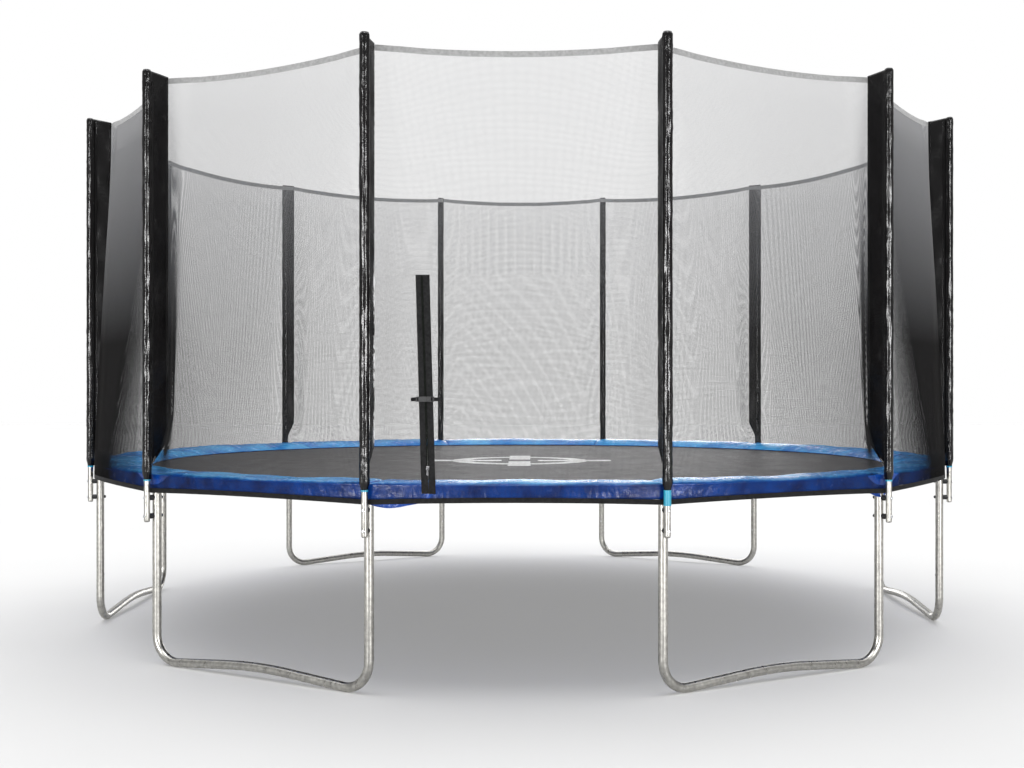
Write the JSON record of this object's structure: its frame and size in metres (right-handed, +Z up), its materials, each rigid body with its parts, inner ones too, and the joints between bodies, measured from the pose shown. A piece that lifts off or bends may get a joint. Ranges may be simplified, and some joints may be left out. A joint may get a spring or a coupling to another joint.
{
  "type": "trampoline",
  "caption": "Round garden trampoline with W-shaped tube legs, sprung jumping mat, padded rim and a tall outside safety net on sleeved poles.",
  "frame": {"origin": "on the ground under the centre of the mat, midway between the legs' feet", "axes": "+Z up; -Y faces the door side; +X is to the right when facing the door"},
  "size_m": [4.8958, 4.8958, 2.8129],
  "materials": {
    "galvanised_tube": "hot-dip galvanised, satin",
    "zinc_steel": "zinc plated",
    "black_plastic": "satin moulded",
    "foam": "closed-cell foam",
    "black_vinyl": "glossy coated cloth",
    "light_blue_vinyl": "coated cloth",
    "blue_vinyl": "glossy coated cloth",
    "mat_weave": "woven polypropylene",
    "black_webbing": "woven webbing",
    "net_mesh": "knitted mesh",
    "grey_binding": "woven tape",
    "zip_nylon": "moulded nylon",
    "zip_metal": "black enamel"
  },
  "bodies": {
    "root": {"leg_base_1": "galvanised_tube", "leg_base_2": "galvanised_tube", "leg_base_3": "galvanised_tube", "leg_base_4": "galvanised_tube", "leg_base_5": "galvanised_tube", "leg_base_6": "galvanised_tube", "top_rail_1": "galvanised_tube", "top_rail_2": "galvanised_tube", "top_rail_3": "galvanised_tube", "top_rail_4": "galvanised_tube", "top_rail_5": "galvanised_tube", "top_rail_6": "galvanised_tube", "top_rail_7": "galvanised_tube", "top_rail_8": "galvanised_tube", "top_rail_9": "galvanised_tube", "top_rail_10": "galvanised_tube", "top_rail_11": "galvanised_tube", "top_rail_12": "galvanised_tube", "enclosure_pole_1": "galvanised_tube", "enclosure_pole_2": "galvanised_tube", "enclosure_pole_3": "galvanised_tube", "enclosure_pole_4": "galvanised_tube", "enclosure_pole_5": "galvanised_tube", "enclosure_pole_6": "galvanised_tube", "enclosure_pole_7": "galvanised_tube", "enclosure_pole_8": "galvanised_tube", "enclosure_pole_9": "galvanised_tube", "enclosure_pole_10": "galvanised_tube", "enclosure_pole_11": "galvanised_tube", "enclosure_pole_12": "galvanised_tube", "leg_uprights": "galvanised_tube", "rail_sockets": "galvanised_tube", "leg_screws": "zinc_steel", "pole_bolts": "zinc_steel", "springs": "zinc_steel", "pole_nuts": "black_plastic", "pole_spacers": "black_plastic", "pole_top_caps": "black_plastic", "buckle_socket": "black_plastic", "pole_end_caps": "galvanised_tube", "pole_foam": "foam", "pole_sleeves": "black_vinyl", "sleeve_cuffs": "light_blue_vinyl", "safety_pad": "blue_vinyl", "pad_skirt": "blue_vinyl", "pad_ties": "black_webbing", "net_hooks": "black_webbing", "net_bottom_hem": "black_webbing", "door_straps": "black_webbing", "zip_tapes": "black_webbing", "safety_net": "net_mesh", "net_top_hem": "grey_binding", "zip_coils": "zip_nylon"},
    "mat": {"jumping_mat": "mat_weave", "mat_webbing": "black_webbing", "v_rings": "zinc_steel"},
    "zip_slider": {"zip_slider": "zip_metal"},
    "zip_pull": {"zip_pull": "zip_metal"},
    "buckle_plug": {"buckle_plug": "black_plastic"}
  },
  "joints": [
    {"name": "mat_bounce", "type": "slide", "parent": "root", "child": "mat", "axis": [0, 0, 1], "range_m": [-0.2, 0], "stiffness_N_per_m": 6000, "springref_m": 0.06, "deforming": ["springs"]},
    {"name": "zip_slide", "type": "slide", "parent": "root", "child": "zip_slider", "axis": [-0.0369, 0.0644, 0.9972], "range_m": [0, 0.79]},
    {"name": "pull_hinge", "type": "hinge", "parent": "zip_slider", "child": "zip_pull", "pos_m": [-0.36966, -2.42822, 0.97463], "axis": [-0.9972, 0.0754, 0], "range_deg": [0, 140]},
    {"name": "buckle_release", "type": "slide", "parent": "root", "child": "buckle_plug", "axis": [0.9972, -0.0754, 0], "range_m": [0, 0.03]}
  ]
}
